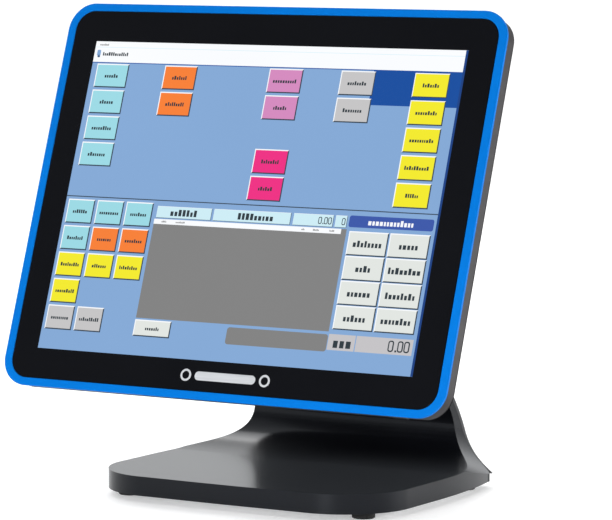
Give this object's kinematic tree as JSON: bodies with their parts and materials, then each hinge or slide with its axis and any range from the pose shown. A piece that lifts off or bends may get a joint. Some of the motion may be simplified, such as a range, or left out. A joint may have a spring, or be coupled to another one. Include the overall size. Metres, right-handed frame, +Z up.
{
  "type": "pos touchscreen terminal",
  "caption": "Touchscreen sales terminal: flat glass display head with a coloured trim ring, tilting on a friction hinge over a one-piece base and curved neck with a rear cable cover.",
  "frame": {"origin": "middle of the footprint of the whole terminal, on the ground", "axes": "+Z up, the screen faces -Y, +X is to the right of a person behind the counter side of the screen looking along +Y"},
  "size_m": [0.358, 0.2066, 0.3442],
  "materials": {
    "black_glass": "polished black-bordered glass",
    "blue_trim": "satin blue",
    "foam": "closed-cell foam",
    "rim_grey": "fine-textured grey",
    "lcd": "display module",
    "steel": "zinc-plated sheet",
    "hinge_steel": "machined steel",
    "screw_zinc": "zinc-plated",
    "circuit_board": "circuit board laminate",
    "aluminium": "extruded",
    "chips": "moulded packages",
    "port_plastic": "moulded black",
    "cover_black": "fine-textured black",
    "button_black": "satin black",
    "stand_metal": "satin black powder coat",
    "cable_cover_black": "fine-textured black",
    "ballast_iron": "raw",
    "rubber": "matt"
  },
  "bodies": {
    "stand": {"stand_casting": "stand_metal", "bottom_plate": "steel", "base_weight": "ballast_iron", "stand_hinge_bracket": "hinge_steel", "hinge_shaft": "hinge_steel", "hinge_sleeve": "cover_black", "disc_spring_left": "hinge_steel", "disc_spring_right": "hinge_steel", "hinge_nut_left": "hinge_steel", "hinge_nut_right": "hinge_steel", "bottom_screw_front_left": "screw_zinc", "bottom_screw_front_right": "screw_zinc", "bottom_screw_rear_left": "screw_zinc", "bottom_screw_rear_right": "screw_zinc", "bracket_screw_left": "screw_zinc", "bracket_screw_right": "screw_zinc", "foot_front_left": "rubber", "foot_front_right": "rubber", "foot_rear_left": "rubber", "foot_rear_right": "rubber"},
    "head": {"cash_drawer_port": "port_plastic", "chassis_plate": "steel", "cover_screw_left_high": "screw_zinc", "cover_screw_left_low": "screw_zinc", "cover_screw_right_high": "screw_zinc", "cover_screw_right_low": "screw_zinc", "cpu_heatsink": "aluminium", "display_port": "port_plastic", "display_trim": "blue_trim", "glass_gasket": "foam", "head_hinge_bracket": "hinge_steel", "hinge_screw_left_high": "screw_zinc", "hinge_screw_left_low": "screw_zinc", "hinge_screw_right_high": "screw_zinc", "hinge_screw_right_low": "screw_zinc", "lan_port": "port_plastic", "lcd_bracket_left": "steel", "lcd_bracket_right": "steel", "lcd_panel": "lcd", "mainboard": "circuit_board", "memory_module": "chips", "mid_frame": "rim_grey", "port_bracket": "steel", "power_inlet": "port_plastic", "power_switch": "port_plastic", "rear_cover": "cover_black", "serial_port": "port_plastic", "solid_state_drive": "chips", "speaker_left": "port_plastic", "speaker_right": "port_plastic", "touch_controller": "circuit_board", "touch_glass": "black_glass", "usb_ports": "port_plastic"},
    "power_button": {"power_button": "button_black"},
    "cable_cover": {"cable_cover": "cable_cover_black"}
  },
  "joints": [
    {"name": "head_tilt", "type": "hinge", "parent": "stand", "child": "head", "pos_m": [0, -0.00988, 0.16827], "axis": [-1, 0, 0], "range_deg": [-15, 50]},
    {"name": "power_button_press", "type": "slide", "parent": "head", "child": "power_button", "axis": [0, 0.3338, 0.9426], "range_m": [0, 0.0008], "stiffness_N_per_m": 600},
    {"name": "cable_cover_pull", "type": "slide", "parent": "stand", "child": "cable_cover", "axis": [0, 1, 0], "range_m": [0, 0.06]}
  ]
}
